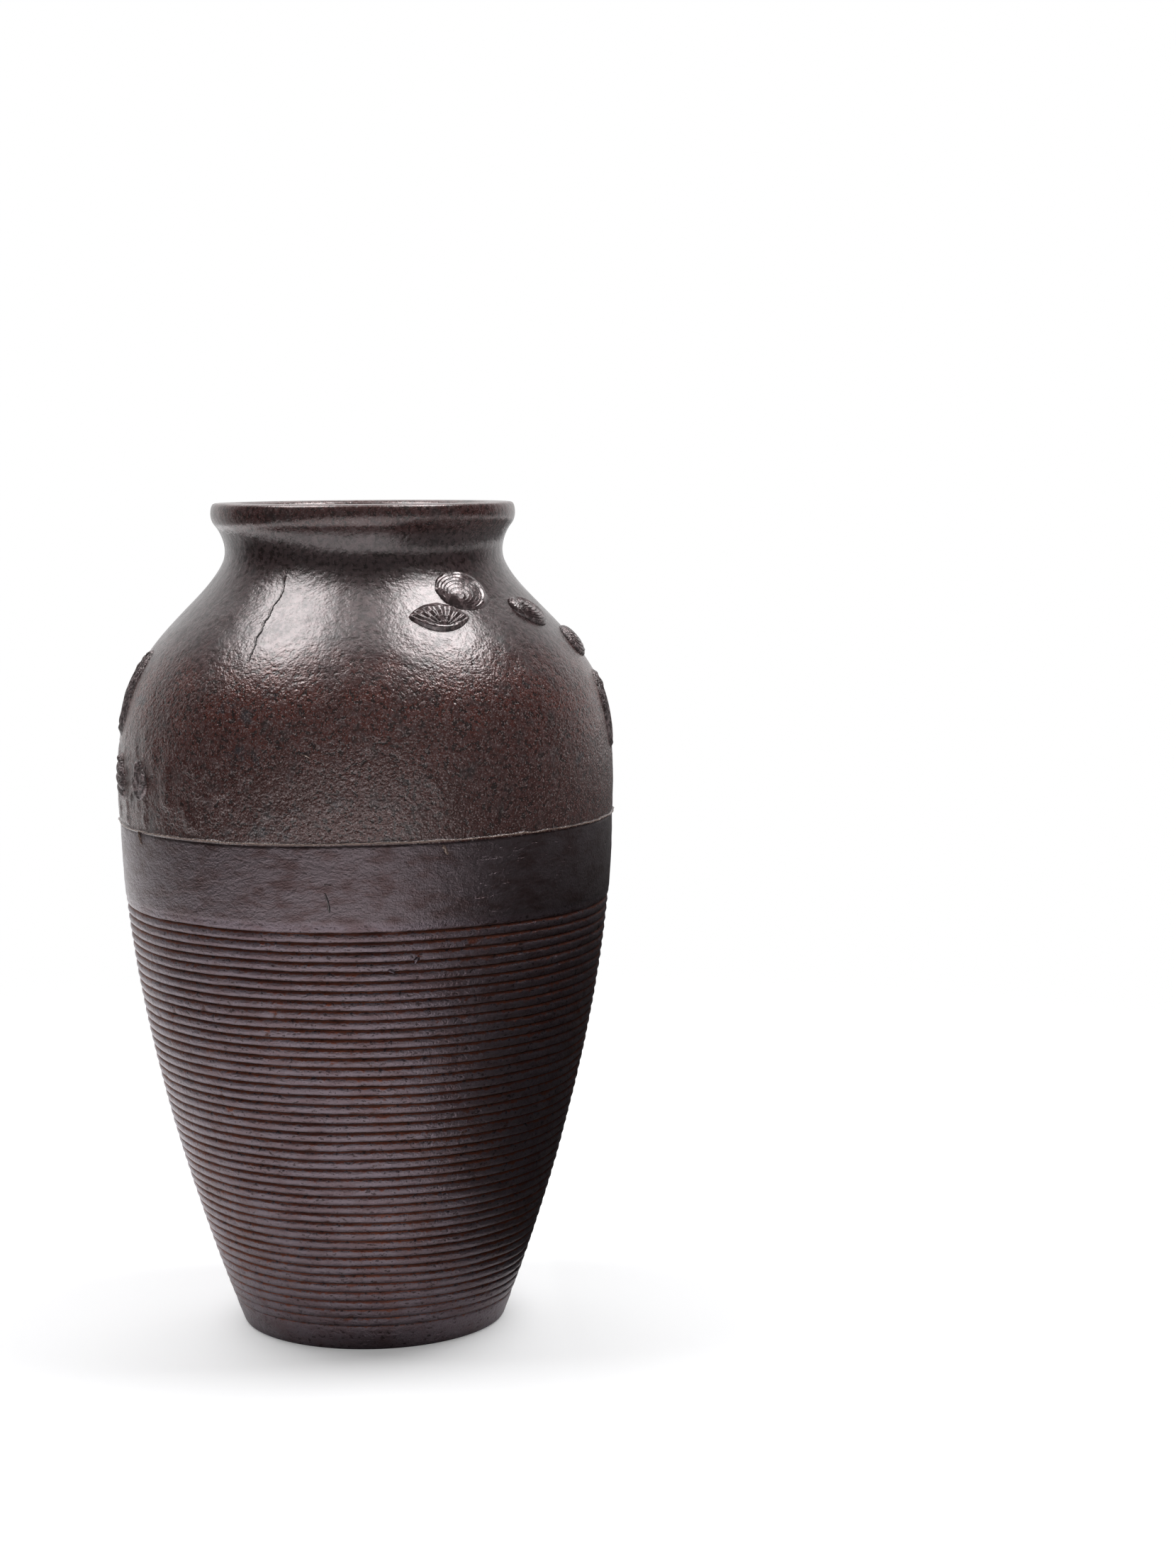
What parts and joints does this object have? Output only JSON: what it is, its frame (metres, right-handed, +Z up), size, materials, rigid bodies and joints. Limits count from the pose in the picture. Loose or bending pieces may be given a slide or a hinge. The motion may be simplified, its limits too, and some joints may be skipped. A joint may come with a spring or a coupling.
{
  "type": "cast iron vase",
  "caption": "Tall rounded cast iron flower vase: smooth shoulder with raised shells, mould seam at the belly, ribbed lower wall, narrow neck and rolled lip.",
  "frame": {"origin": "middle of the foot ring, on the surface that the vase stands on", "axes": "+Z up along the axis of the turned body, -Y towards the front where most of the shells are, +X to the right seen from the front"},
  "size_m": [0.1504, 0.1504, 0.25],
  "materials": {
    "iron_skin": "fine sand-cast skin with a waxed dark brown patina",
    "iron_ribbed": "sand-cast ribs, grey-violet crests over red-brown grooves",
    "iron_base": "dull grey cast base with brown specks and small cracks",
    "iron_rust": "rough pitted iron with orange-brown rust",
    "iron_relief": "cast relief with a rubbed dark brown patina"
  },
  "bodies": {
    "root": {"upper_casting": "iron_skin", "lower_casting": "iron_ribbed", "base_plate": "iron_base", "gate_plug": "iron_rust", "shell_clam_front": "iron_relief", "shell_scallop_front": "iron_relief", "shell_mussel_front": "iron_relief", "shell_round_right": "iron_relief", "shell_long_right": "iron_relief", "shell_long_left": "iron_relief", "shell_whelk_left": "iron_relief", "shell_fan_left": "iron_relief"}
  },
  "joints": []
}
